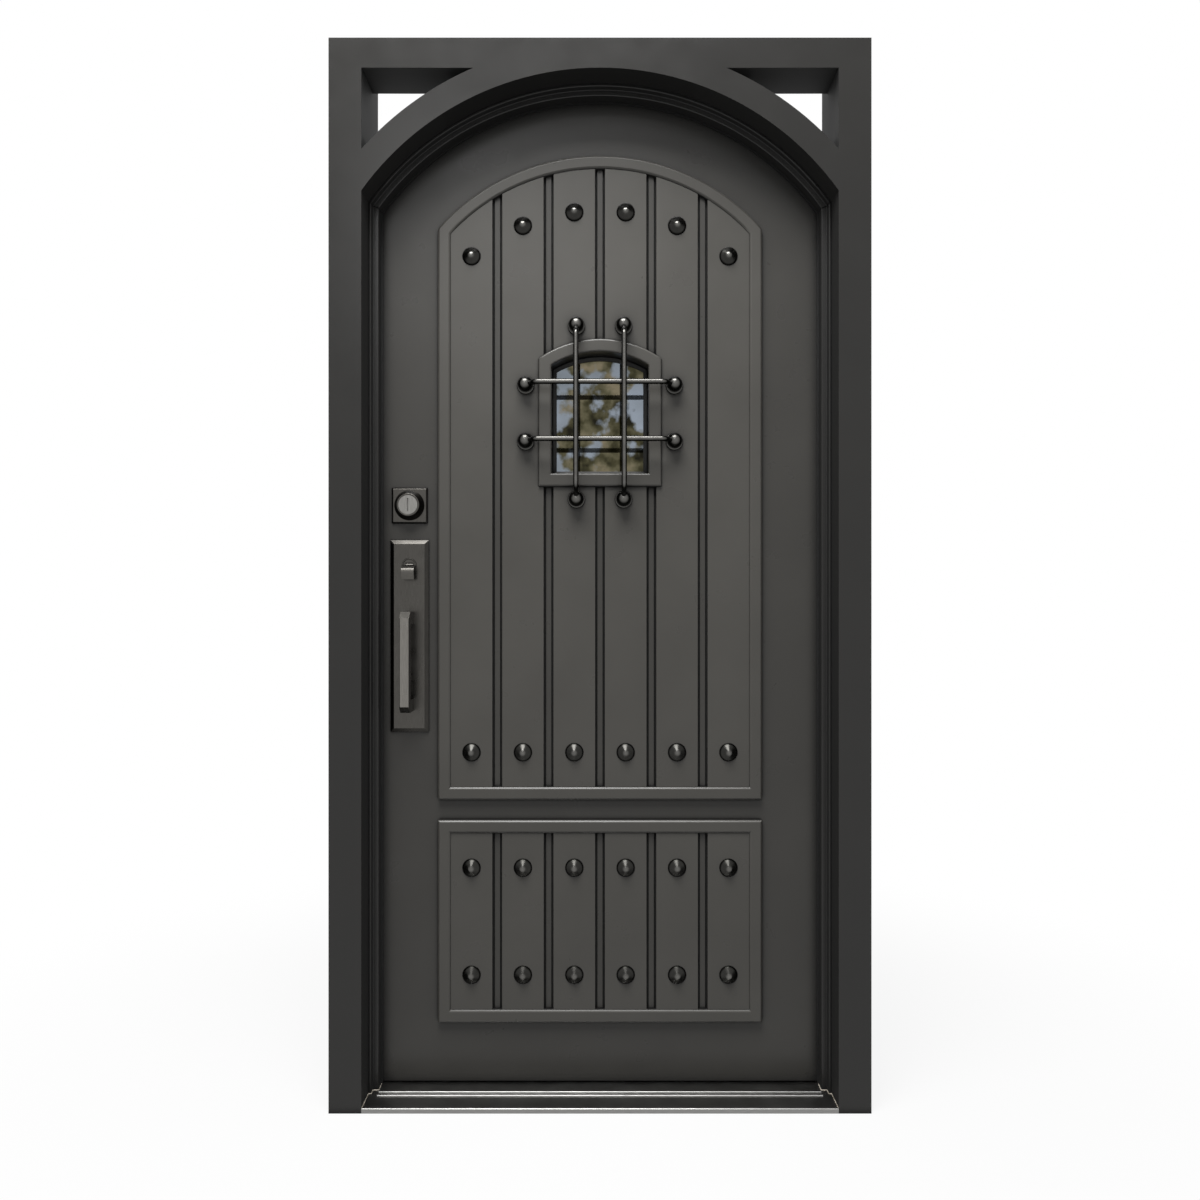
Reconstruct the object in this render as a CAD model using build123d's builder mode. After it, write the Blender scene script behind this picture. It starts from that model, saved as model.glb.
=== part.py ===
from build123d import *

import os
from math import sqrt

# Arched iron entry door in its welded tube frame, shut, hung on the right and opening inwards.
# X runs to the right seen from outside, Y runs inwards and Z runs up, all in millimetres.
# The origin lies on the floor, in the middle of the frame. A depth is measured inwards from the
# front face of the frame, and an inset is measured from the edge of the arched opening.

# Frame of steel tube
frame_width = 1086
frame_height = 2152
frame_depth = 152.4
jamb_face = 65.5
head_height = 60
head_depth = 104
arch_radius = 587
arch_face = 52
tube_wall = 3
cut_overrun = 4
weld_gap = 0.05

# Anchor holes in the jambs, hidden behind the shut leaf
anchor_radius = 5.25
anchor_end = 326
anchor_depth = 130

# Two-step stop with a rubber gasket behind it
stop_front = 61
stop_step = 6
stop_step_front = 76
stop_width = 18
stop_back = 104
gasket_outer = 5
gasket_width = 15.5
gasket_clearance = 0.3

# Sill
sill_height = 10
sill_nose = 3.5
ridge_radius = 2.5
ridge_depth = 52
ridge_pitch = 15

# Leaf of two skins on a tube frame, filled with foam
leaf_front = 108
leaf_gap = 4
leaf_sill_gap = 4.5
skin = 2
stile_width = 40
stile_wall = 3
sweep_depth = 118
sweep_width = 22
sweep_clearance = 0.6

# Planks with ribs between them, and the mouldings round them
lock_stile = 133.5
plank_count = 6
plank_gap = 20.4
plank_height = 9
rib_width = 10.8
rib_height = 3
moulding_width = 26.7
moulding_height = 12.5
moulding_bevel = 3.8
moulding_bevel_depth = 2.8
crown_margin = 129
moulding_gap = 43
lower_bottom = 141
lower_height = 424

# Clavos, the round nail heads
clavo_radius = 19.2
clavo_height = 12.5
clavo_inset = 73
clavo_drop = 88

# Window in the leaf
window_half = 128.6
window_height = 308.5
window_drop = 358.3
window_radius = 222.4
trim_width = 26.7
trim_height = 16
trim_bevel = 3
trim_bevel_depth = 1.8
lining_wall = 3

# Grille of round bars that end in balls
bar_radius = 5.6
upright_spacing = 99
rail_spacing = 117.5
rail_rise = 152.8
rail_stand_off = 26
bar_gap = 0.1
knee_run = 24
knee_radius = 13
ball_radius = 16
ball_foot_radius = 18
ball_foot_height = 4
ball_gap = 27.3

# Speakeasy sash, hung on the inside of the window
sash_clearance = 2
sash_bar = 7.5
sash_lip = 6
sash_front = 133
sash_rabbet = 3
sash_bevel = 6.5
sash_bevel_depth = 5
sash_flange = 12
sash_flange_height = 6
sash_seat_gap = 0.3
glass_thickness = 6
glass_clearance = 0.2
sash_barrel_radius = 5
sash_barrel_length = 16
sash_pin_radius = 2.5
sash_hinge_tab = 18
sash_hinge_tab_height = 4
sash_hinge_spacing = 150
sash_pull_radius = 9
sash_pull_height = 18
sash_pull_neck_radius = 5

# Weld-on barrel hinges on the inside
hinge_radius = 11
hinge_half = 45
hinge_pin_radius = 6
hinge_washer = 2
hinge_tab = 38
hinge_tab_height = 5
hinge_low = 250
hinge_drop = 195
hinge_count = 3
hinge_cap = 6
barrel_clearance = 0.4
pin_clearance = 0.05
face_clearance = 0.1

# Lock bores, cases and bolts
backset = 73
latch_height = 1085
lock_spacing = 141
cross_bore_radius = 27
edge_bore_radius = 14.5
case_radius = 14
case_end_gap = 12
faceplate_width = 25.4
faceplate_height = 57
faceplate_thickness = 2
bolt_width = 12
latch_bolt_height = 16
deadbolt_bolt_height = 20
bolt_clearance = 0.3
bolt_back_gap = 6
latch_throw = 12.7
deadbolt_chamfer = 2
strike_width = 28
strike_height = 70
strike_thickness = 1.5
strike_margin = 3
pocket_margin = 5

# Deadbolt trim outside and inside
deadbolt_plate_size = 75
deadbolt_plate_height = 6
deadbolt_plate_bevel = 3
collar_radius = 32
collar_front_radius = 23.5
collar_height = 18
collar_socket = 8
plug_radius = 20
plug_shank_radius = 7
plug_clearance = 0.3
keyway_width = 3.2
keyway_height = 27
keyway_depth = 5
shaft_gap = 3
rose_size = 75
rose_height = 8
rose_bevel = 4
turn_shank_radius = 9
turn_length = 44
turn_width = 10
turn_height = 20
turn_stand_off = 3

# Handle set outside, lever inside
handle_width = 80
handle_rise = 68
handle_length = 403
handle_height = 8
handle_bevel = 8
handle_bevel_depth = 5
thumb_rise = 15
thumb_ring_radius = 15.5
thumb_ring_width = 3
thumb_ring_height = 2
thumb_ring_bevel = 0.8
thumb_slot_clearance = 0.5
thumb_pin_radius = 2
thumb_pin_seat = 6
thumb_hub_radius = 5
thumb_neck_width = 16
thumb_pad_width = 27
thumb_strip = 5
thumb_tail = 12
thumb_reach = 24
thumb_drop = 23
thumb_bend = 9
thumb_press_angle = 15
grip_drop = 150
grip_length = 208
grip_width = 20
grip_stand_off = 56
grip_bar = 17
grip_foot_height = 26
grip_corner = 13
grip_edge = 2
lever_shank_radius = 10
lever_neck = 38
lever_length = 115
lever_width = 22
lever_bar = 12
lever_edge = 3

# Places worked out from the sizes above
opening_half = frame_width / 2 - jamb_face
jamb_middle = frame_width / 2 - jamb_face / 2
arch_centre = frame_height - head_height - arch_radius
arch_outer_radius = arch_radius + arch_face
leaf_back = frame_depth
leaf_half = opening_half - leaf_gap
leaf_radius = arch_radius - leaf_gap
leaf_bottom = sill_height + leaf_sill_gap
core_front = leaf_front + skin
core_back = leaf_back - skin
leaf_middle = (leaf_front + leaf_back) / 2
leaf_spring = arch_centre + sqrt(leaf_radius**2 - leaf_half**2)
moulding_half = leaf_half - lock_stile
field_half = moulding_half - moulding_width
plank_pitch = (field_half * 2 + plank_gap) / plank_count
plank_width = plank_pitch - plank_gap
plank_front = leaf_front - plank_height
upper_radius = leaf_radius - crown_margin
field_radius = upper_radius - moulding_width
lower_top = lower_bottom + lower_height
upper_bottom = lower_top + moulding_gap
window_crown = arch_centre + field_radius - window_drop
window_bottom = window_crown - window_height
window_middle = (window_bottom + window_crown) / 2
window_centre = window_crown - window_radius
lock_x = backset - leaf_half
deadbolt_height = latch_height + lock_spacing
thumb_height = latch_height + thumb_rise
handle_top = latch_height + handle_rise
handle_bottom = handle_top - handle_length
grip_top = handle_top - grip_drop
grip_bottom = grip_top - grip_length


def upright(depth):
    """Return the upright plane at a depth, from which extrusions run towards the front."""
    return Plane.XZ.offset(frame_depth / 2 - depth)


def level(height):
    """Return the level plane at a height, on which the second coordinate is the depth."""
    return Plane(origin=(0, -frame_depth / 2, height))


def across(place):
    """Return the plane square to X at a place, on which the coordinates are depth and height."""
    return Plane(origin=(place, -frame_depth / 2, 0), x_dir=(0, 1, 0), z_dir=(1, 0, 0))


def arched_face(half_width, bottom, radius, centre):
    """Return a face with a flat foot, upright sides and a head struck from a centre height."""
    spring = centre + sqrt(radius**2 - half_width**2)
    with BuildSketch() as outline:
        with BuildLine():
            Polyline(
                (-half_width, spring), (-half_width, bottom), (half_width, bottom), (half_width, spring)
            )
            ThreePointArc((half_width, spring), (0, centre + radius), (-half_width, spring))
        make_face()
    return outline.sketch


def leaf_face(inset):
    """Return the leaf's outline, drawn in by an inset."""
    return arched_face(leaf_half - inset, leaf_bottom + inset, leaf_radius - inset, arch_centre)


def window_face(inset):
    """Return the outline of the window trim, drawn in by an inset."""
    return arched_face(
        window_half - inset, window_bottom + inset, window_radius - inset, window_centre
    )


def upper_face(inset):
    """Return the outline of the upper moulding, drawn in by an inset."""
    return arched_face(
        moulding_half - inset, upper_bottom + inset, upper_radius - inset, arch_centre
    )


def lower_face(inset):
    """Return the outline of the lower moulding, drawn in by an inset."""
    with BuildSketch() as outline:
        with Locations((0, (lower_bottom + lower_top) / 2)):
            Rectangle((moulding_half - inset) * 2, lower_top - lower_bottom - inset * 2)
    return outline.sketch


def ring(outer, inner, front, back):
    """Return the solid between two outlines, from a front depth to a back depth."""
    with BuildPart() as band:
        with BuildSketch(upright(back)):
            add(outer)
            add(inner, mode=Mode.SUBTRACT)
        extrude(amount=back - front)
    return band.part


def bevelled_block(foot, face, front, depth):
    """Return the solid that narrows or widens from a foot outline to a face outline in front."""
    with BuildPart() as block:
        with BuildSketch(upright(front + depth)):
            add(foot)
        with BuildSketch(upright(front)):
            add(face)
        loft(ruled=True)
    return block.part


def moulding(outline, width, height, bevel, depth):
    """Return a flat moulding on the leaf, with its outer and inner edges bevelled to a depth."""
    front = leaf_front - height
    with BuildPart() as band:
        add(ring(outline(0), outline(width), front + depth, leaf_front))
        add(bevelled_block(outline(0), outline(bevel), front, depth))
        add(bevelled_block(outline(width), outline(width - bevel), front, depth), mode=Mode.SUBTRACT)
    return band.part


# Frame tubes
def jamb_tube(side):
    """Return a jamb on one side of the opening, hollow, with its anchor holes drilled through."""
    with BuildPart() as tube:
        with BuildSketch():
            with Locations((side * jamb_middle, 0)):
                Rectangle(jamb_face, frame_depth)
        extrude(amount=frame_height)
        with BuildSketch(Plane.XY.offset(tube_wall)):
            with Locations((side * jamb_middle, 0)):
                Rectangle(jamb_face - tube_wall * 2, frame_depth - tube_wall * 2)
        extrude(amount=frame_height - tube_wall * 2, mode=Mode.SUBTRACT)
        with BuildSketch(across(side * jamb_middle)):
            with Locations((anchor_depth, anchor_end), (anchor_depth, frame_height - anchor_end)):
                Circle(anchor_radius)
        extrude(amount=jamb_face, both=True, mode=Mode.SUBTRACT)
    return tube.part


with BuildPart() as left_jamb:
    add(jamb_tube(-1))
    with BuildSketch(across(-opening_half)):
        with Locations((leaf_middle, latch_height)):
            Rectangle(bolt_width + pocket_margin * 2, latch_bolt_height + pocket_margin * 2)
        with Locations((leaf_middle, deadbolt_height)):
            Rectangle(bolt_width + pocket_margin * 2, deadbolt_bolt_height + pocket_margin * 2)
    extrude(amount=tube_wall, both=True, mode=Mode.SUBTRACT)
left_jamb.part.label = "left_jamb"

with BuildPart() as right_jamb:
    add(jamb_tube(1))
right_jamb.part.label = "right_jamb"


def arch_band(inner_radius, outer_radius, half_width):
    """Return the part of a round band that lies over the opening."""
    with BuildSketch() as band:
        with Locations((0, arch_centre)):
            Circle(outer_radius)
            Circle(inner_radius, mode=Mode.SUBTRACT)
            Rectangle(
                half_width * 2, outer_radius, align=(Align.CENTER, Align.MIN), mode=Mode.INTERSECT
            )
    return band.sketch


with BuildPart() as arch:
    with BuildSketch(upright(frame_depth)):
        add(arch_band(arch_radius, arch_outer_radius, opening_half))
    extrude(amount=frame_depth)
    with BuildSketch(upright(frame_depth - tube_wall)):
        add(
            arch_band(
                arch_radius + tube_wall, arch_outer_radius - tube_wall, opening_half - tube_wall
            )
        )
    extrude(amount=frame_depth - tube_wall * 2, mode=Mode.SUBTRACT)
arch.part.label = "arch"


def head_face(inset):
    """Return the head tube's face, notched round the arch, with its walls drawn in by an inset."""
    with BuildSketch() as face:
        with Locations((0, frame_height - head_height / 2)):
            Rectangle((opening_half - inset) * 2, head_height - inset * 2)
        with Locations((0, arch_centre)):
            Circle(arch_outer_radius + inset * 2 + weld_gap, mode=Mode.SUBTRACT)
    return face.sketch


with BuildPart() as head:
    with BuildSketch(upright(head_depth)):
        add(head_face(0))
    extrude(amount=head_depth)
    with BuildSketch(upright(head_depth - tube_wall)):
        add(head_face(tube_wall))
    extrude(amount=head_depth - tube_wall * 2, mode=Mode.SUBTRACT)
head.part.label = "head"

# Stop and gasket, each two uprights and an arch that meet in mitres
# A section is a list of insets and depths
stop_section = [
    (0, stop_front),
    (stop_step, stop_front),
    (stop_step, stop_step_front),
    (stop_width, stop_step_front),
    (stop_width, stop_back),
    (0, stop_back),
]
gasket_back = leaf_front - gasket_clearance
gasket_section = [
    (gasket_outer, stop_back),
    (gasket_outer + gasket_width, stop_back),
    (gasket_outer + gasket_width, gasket_back),
    (gasket_outer, gasket_back),
]


def spring_height(inset):
    """Return the height at which an upright and an arch at one inset meet."""
    return arch_centre + sqrt((arch_radius - inset) ** 2 - (opening_half - inset) ** 2)


def arch_zone(section):
    """Return the face over which a section runs round the arch, with its mitres as lower edges."""
    near = min(inset for inset, depth in section)
    far = max(inset for inset, depth in section)
    with BuildSketch() as zone:
        with BuildLine():
            Polyline(
                (near - opening_half, frame_height),
                (near - opening_half, spring_height(near)),
                (far - opening_half, spring_height(far)),
                (opening_half - far, spring_height(far)),
                (opening_half - near, spring_height(near)),
                (opening_half - near, frame_height),
                close=True,
            )
        make_face()
    return zone.sketch


def upright_bar(section, side):
    """Return a section run up one jamb from the sill to its mitre."""
    near = min(inset for inset, depth in section)
    with BuildPart() as bar:
        with BuildSketch(level(sill_height)):
            with BuildLine():
                Polyline(
                    *[(side * (opening_half - inset), depth) for inset, depth in section],
                    close=True,
                )
            make_face()
        extrude(amount=spring_height(near) - sill_height)
        with BuildSketch(upright(frame_depth)):
            add(arch_zone(section))
        extrude(amount=frame_depth, mode=Mode.SUBTRACT)
    return bar.part


def arch_bar(section):
    """Return a section run round the arch between its two mitres."""
    with BuildPart() as bar:
        with BuildSketch(across(0)):
            with BuildLine():
                Polyline(
                    *[(depth, arch_centre + arch_radius - inset) for inset, depth in section],
                    close=True,
                )
            make_face()
        revolve(axis=Axis((0, 0, arch_centre), (0, 1, 0)))
        with BuildSketch(upright(frame_depth)):
            add(arch_zone(section))
        extrude(amount=frame_depth, mode=Mode.INTERSECT)
    return bar.part


with BuildPart() as left_stop:
    add(upright_bar(stop_section, -1))
left_stop.part.label = "left_stop"

with BuildPart() as right_stop:
    add(upright_bar(stop_section, 1))
right_stop.part.label = "right_stop"

with BuildPart() as arch_stop:
    add(arch_bar(stop_section))
arch_stop.part.label = "arch_stop"

with BuildPart() as left_gasket:
    add(upright_bar(gasket_section, -1))
left_gasket.part.label = "left_gasket"

with BuildPart() as right_gasket:
    add(upright_bar(gasket_section, 1))
right_gasket.part.label = "right_gasket"

with BuildPart() as arch_gasket:
    add(arch_bar(gasket_section))
arch_gasket.part.label = "arch_gasket"

# Sill with a round nose, and two ridges between the stops
with BuildPart() as sill:
    with BuildSketch(across(-opening_half)):
        with BuildLine():
            Polyline(
                (sill_nose, sill_height),
                (frame_depth, sill_height),
                (frame_depth, 0),
                (0, 0),
                (0, sill_height - sill_nose),
            )
            CenterArc((sill_nose, sill_height - sill_nose), sill_nose, 90, 90)
        make_face()
    extrude(amount=opening_half * 2)
    ridge_half = opening_half - gasket_outer - gasket_width
    with BuildSketch(across(-ridge_half)):
        with Locations((ridge_depth, sill_height), (ridge_depth + ridge_pitch, sill_height)):
            Circle(ridge_radius)
    extrude(amount=ridge_half * 2)
sill.part.label = "sill"


def strike_plate(height, bolt_height):
    """Return a strike plate on the left jamb with a hole for its bolt."""
    with BuildPart() as plate:
        with BuildSketch(across(-opening_half)):
            with Locations((leaf_middle, height)):
                Rectangle(strike_width, strike_height)
                Rectangle(
                    bolt_width + strike_margin * 2,
                    bolt_height + strike_margin * 2,
                    mode=Mode.SUBTRACT,
                )
        extrude(amount=strike_thickness)
    return plate.part


with BuildPart() as latch_strike:
    add(strike_plate(latch_height, latch_bolt_height))
latch_strike.part.label = "latch_strike"

with BuildPart() as deadbolt_strike:
    add(strike_plate(deadbolt_height, deadbolt_bolt_height))
deadbolt_strike.part.label = "deadbolt_strike"

# Barrel hinges: the frame half carries the pin, and the leaf half turns on it above a washer
hinge_x = opening_half - leaf_gap / 2
hinge_depth = frame_depth + hinge_radius + barrel_clearance
hinge_spacing = (leaf_spring - hinge_drop - hinge_low) / (hinge_count - 1)
hinge_heights = [hinge_low + hinge_spacing * number for number in range(hinge_count)]
hinge_pin_top = hinge_half - hinge_cap - cut_overrun
hinge_bore_top = hinge_half - hinge_cap


def hinge_barrel(bottom, top, tab_side, edge):
    """Return a barrel with the tab that is welded to the jamb or to the leaf."""
    with BuildPart() as barrel:
        with BuildSketch(level(bottom)):
            with Locations((hinge_x, hinge_depth)):
                Circle(hinge_radius)
            with Locations((edge + tab_side * hinge_tab / 2, frame_depth + hinge_tab_height / 2)):
                Rectangle(hinge_tab, hinge_tab_height)
        extrude(amount=top - bottom)
    return barrel.part


with BuildPart() as hinge_frame_half:
    add(hinge_barrel(-hinge_half, -hinge_washer / 2, 1, opening_half))
    with BuildSketch(level(-hinge_washer / 2)):
        with Locations((hinge_x, hinge_depth)):
            Circle(hinge_pin_radius)
    extrude(amount=hinge_pin_top + hinge_washer / 2)

with BuildPart() as hinge_frame_barrels:
    with Locations(*[(0, 0, height) for height in hinge_heights]):
        add(hinge_frame_half.part)
hinge_frame_barrels.part.label = "hinge_frame_barrels"

with BuildPart() as hinge_leaf_half:
    add(hinge_barrel(hinge_washer / 2 + face_clearance, hinge_half, -1, leaf_half))
    with BuildSketch(level(0)):
        with Locations((hinge_x, hinge_depth)):
            Circle(hinge_pin_radius + pin_clearance)
    extrude(amount=hinge_bore_top, mode=Mode.SUBTRACT)

with BuildPart() as hinge_leaf_barrels:
    with Locations(*[(0, 0, height) for height in hinge_heights]):
        add(hinge_leaf_half.part)
hinge_leaf_barrels.part.label = "hinge_leaf_barrels"

with BuildPart() as hinge_washers:
    for height in hinge_heights:
        with BuildSketch(level(height - hinge_washer / 2)):
            with Locations((hinge_x, hinge_depth)):
                Circle(hinge_radius)
                Circle(hinge_pin_radius + pin_clearance, mode=Mode.SUBTRACT)
        extrude(amount=hinge_washer)
hinge_washers.part.label = "hinge_washers"


# Leaf
def lock_bores():
    """Return the round holes through the leaf behind the two sets of lock trim."""
    with BuildSketch() as bores:
        with Locations((lock_x, latch_height), (lock_x, deadbolt_height)):
            Circle(cross_bore_radius)
    return bores.sketch


def edge_bores():
    """Return the two bores that run from the leaf's edge to the lock bores."""
    with BuildPart() as bores:
        with BuildSketch(across(-leaf_half)):
            with Locations((leaf_middle, latch_height), (leaf_middle, deadbolt_height)):
                Circle(edge_bore_radius)
        extrude(amount=backset)
    return bores.part


def leaf_sheet(back):
    """Return a skin of the leaf whose inner or outer face lies at a back depth."""
    with BuildPart() as sheet:
        with BuildSketch(upright(back)):
            add(leaf_face(0))
            add(window_face(trim_width - lining_wall), mode=Mode.SUBTRACT)
            add(lock_bores(), mode=Mode.SUBTRACT)
        extrude(amount=skin)
    return sheet.part


def rib_faces(outline):
    """Return the strips that lie between the planks inside one moulding."""
    with BuildSketch() as strips:
        with Locations((0, frame_height / 2)):
            with GridLocations(plank_pitch, 0, plank_count - 1, 1):
                Rectangle(rib_width, frame_height)
        add(outline(moulding_width), mode=Mode.INTERSECT)
        add(window_face(0), mode=Mode.SUBTRACT)
    return strips.sketch


with BuildPart() as outer_skin:
    add(leaf_sheet(core_front))
    with BuildSketch(upright(leaf_front)):
        add(rib_faces(upper_face))
        add(rib_faces(lower_face))
    extrude(amount=rib_height)
outer_skin.part.label = "outer_skin"

with BuildPart() as inner_skin:
    add(leaf_sheet(leaf_back))
inner_skin.part.label = "inner_skin"

with BuildPart() as leaf_frame:
    add(ring(leaf_face(0), leaf_face(stile_width), core_front, core_back))
    add(
        ring(
            leaf_face(stile_wall),
            leaf_face(stile_width - stile_wall),
            core_front + stile_wall,
            core_back - stile_wall,
        ),
        mode=Mode.SUBTRACT,
    )
    add(edge_bores(), mode=Mode.SUBTRACT)
    with BuildSketch(across(-leaf_half)):
        with Locations((leaf_middle, latch_height), (leaf_middle, deadbolt_height)):
            Rectangle(faceplate_width, faceplate_height)
    extrude(amount=faceplate_thickness, mode=Mode.SUBTRACT)
leaf_frame.part.label = "leaf_frame"

with BuildPart() as foam_core:
    with BuildSketch(upright(core_back)):
        add(leaf_face(stile_width))
        add(window_face(trim_width - lining_wall), mode=Mode.SUBTRACT)
        add(lock_bores(), mode=Mode.SUBTRACT)
    extrude(amount=core_back - core_front)
    add(edge_bores(), mode=Mode.SUBTRACT)
foam_core.part.label = "foam_core"

with BuildPart() as bottom_sweep:
    with BuildSketch(level(sill_height + sweep_clearance)):
        with Locations((0, sweep_depth + sweep_width / 2)):
            Rectangle(leaf_half * 2, sweep_width)
    extrude(amount=leaf_sill_gap - sweep_clearance)
bottom_sweep.part.label = "bottom_sweep"

with BuildPart() as upper_moulding:
    add(
        moulding(upper_face, moulding_width, moulding_height, moulding_bevel, moulding_bevel_depth)
    )
upper_moulding.part.label = "upper_moulding"

with BuildPart() as lower_moulding:
    add(
        moulding(lower_face, moulding_width, moulding_height, moulding_bevel, moulding_bevel_depth)
    )
lower_moulding.part.label = "lower_moulding"

# Planks, each one cut to the moulding round it and to the window
plank_centres = [
    (number - (plank_count - 1) / 2) * plank_pitch for number in range(plank_count)
]
planks = []
for number, centre in enumerate(plank_centres, start=1):
    with BuildPart() as upper_plank:
        with BuildSketch(upright(leaf_front)):
            add(upper_face(moulding_width))
            with Locations((centre, frame_height / 2)):
                Rectangle(plank_width, frame_height, mode=Mode.INTERSECT)
            add(window_face(0), mode=Mode.SUBTRACT)
        extrude(amount=plank_height)
    upper_plank.part.label = f"upper_plank_{number}"
    with BuildPart() as lower_plank:
        with BuildSketch(upright(leaf_front)):
            add(lower_face(moulding_width))
            with Locations((centre, frame_height / 2)):
                Rectangle(plank_width, frame_height, mode=Mode.INTERSECT)
        extrude(amount=plank_height)
    lower_plank.part.label = f"lower_plank_{number}"
    planks += [upper_plank.part, lower_plank.part]

# Clavos: low domes, in a row under the arch and three level rows
clavo_rows = [
    upper_bottom + moulding_width + clavo_inset,
    lower_top - moulding_width - clavo_inset,
    lower_bottom + moulding_width + clavo_inset,
]
clavo_places = [(centre, 0, height) for height in clavo_rows for centre in plank_centres]
clavo_places += [
    (centre, 0, arch_centre + sqrt(field_radius**2 - centre**2) - clavo_drop)
    for centre in plank_centres
]
dome_radius = (clavo_radius**2 + clavo_height**2) / (clavo_height * 2)
with BuildPart() as clavo:
    with BuildSketch(across(0)):
        with BuildLine():
            RadiusArc((plank_front - clavo_height, 0), (plank_front, clavo_radius), dome_radius)
            Polyline((plank_front, clavo_radius), (plank_front, 0), (plank_front - clavo_height, 0))
        make_face()
    revolve(axis=Axis((0, 0, 0), (0, 1, 0)))

with BuildPart() as clavos:
    with Locations(*clavo_places):
        add(clavo.part)
clavos.part.label = "clavos"

# Window: a bevelled trim outside and a lining through the leaf
with BuildPart() as window_trim:
    add(moulding(window_face, trim_width, trim_height, trim_bevel, trim_bevel_depth))
window_trim.part.label = "window_trim"

with BuildPart() as window_lining:
    add(
        ring(
            window_face(trim_width - lining_wall), window_face(trim_width), leaf_front, leaf_back
        )
    )
window_lining.part.label = "window_lining"

# Grille: rails and uprights that bend back into balls seated on the planks
ball_reach_across = window_half + ball_gap
ball_reach_up = window_height / 2 + ball_gap
ball_depth = plank_front - ball_radius
rail_depth = ball_depth - rail_stand_off
upright_depth = rail_depth - bar_radius * 2 - bar_gap
rail_middle = window_bottom + rail_rise
rail_heights = [rail_middle - rail_spacing / 2, rail_middle + rail_spacing / 2]
upright_places = [-upright_spacing / 2, upright_spacing / 2]
ball_places = [
    (end * ball_reach_across, ball_depth - frame_depth / 2, height)
    for height in rail_heights
    for end in (-1, 1)
]
ball_places += [
    (place, ball_depth - frame_depth / 2, window_middle + end * ball_reach_up)
    for place in upright_places
    for end in (-1, 1)
]

with BuildPart() as ball:
    Sphere(ball_radius)
    with Locations((0, ball_radius - ball_foot_height / 2, 0)):
        Cylinder(ball_foot_radius, ball_foot_height, rotation=(90, 0, 0))

with BuildPart() as grille_balls:
    with Locations(*ball_places):
        add(ball.part)
grille_balls.part.label = "grille_balls"

with BuildPart() as rail:
    with BuildLine() as rail_line:
        FilletPolyline(
            (-ball_reach_across, ball_depth - frame_depth / 2, 0),
            (knee_run - ball_reach_across, rail_depth - frame_depth / 2, 0),
            (ball_reach_across - knee_run, rail_depth - frame_depth / 2, 0),
            (ball_reach_across, ball_depth - frame_depth / 2, 0),
            radius=knee_radius,
        )
    with BuildSketch(Plane(origin=rail_line.line @ 0, z_dir=rail_line.line % 0)):
        Circle(bar_radius)
    sweep()

with BuildPart() as grille_rails:
    with Locations(*[(0, 0, height) for height in rail_heights]):
        add(rail.part)
    with Locations(*ball_places):
        Sphere(ball_radius, mode=Mode.SUBTRACT)
grille_rails.part.label = "grille_rails"

with BuildPart() as grille_upright:
    with BuildLine() as upright_line:
        FilletPolyline(
            (0, ball_depth - frame_depth / 2, window_middle - ball_reach_up),
            (0, upright_depth - frame_depth / 2, window_middle - ball_reach_up + knee_run),
            (0, upright_depth - frame_depth / 2, window_middle + ball_reach_up - knee_run),
            (0, ball_depth - frame_depth / 2, window_middle + ball_reach_up),
            radius=knee_radius,
        )
    with BuildSketch(Plane(origin=upright_line.line @ 0, z_dir=upright_line.line % 0)):
        Circle(bar_radius)
    sweep()

with BuildPart() as grille_uprights:
    with Locations(*[(place, 0, 0) for place in upright_places]):
        add(grille_upright.part)
    with Locations(*ball_places):
        Sphere(ball_radius, mode=Mode.SUBTRACT)
grille_uprights.part.label = "grille_uprights"

# Speakeasy sash: a stepped frame, splayed in front, with a rabbet for the glass and a knob to
# pull it open, hung on two small barrels
sash_inset = trim_width + sash_clearance
sash_opening_inset = sash_inset + sash_bar
sash_rabbet_inset = sash_opening_inset - sash_rabbet
sash_seat = leaf_back + sash_seat_gap
sash_back = sash_seat + sash_flange_height
sash_flange_inset = trim_width - sash_flange
sash_hinge_x = window_half - sash_flange_inset + sash_barrel_radius + barrel_clearance
sash_hinge_depth = leaf_back + sash_barrel_radius + barrel_clearance
sash_hinge_heights = [window_middle - sash_hinge_spacing / 2, window_middle + sash_hinge_spacing / 2]
sash_pull_x = -(window_half - (sash_flange_inset + sash_opening_inset) / 2)

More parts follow.
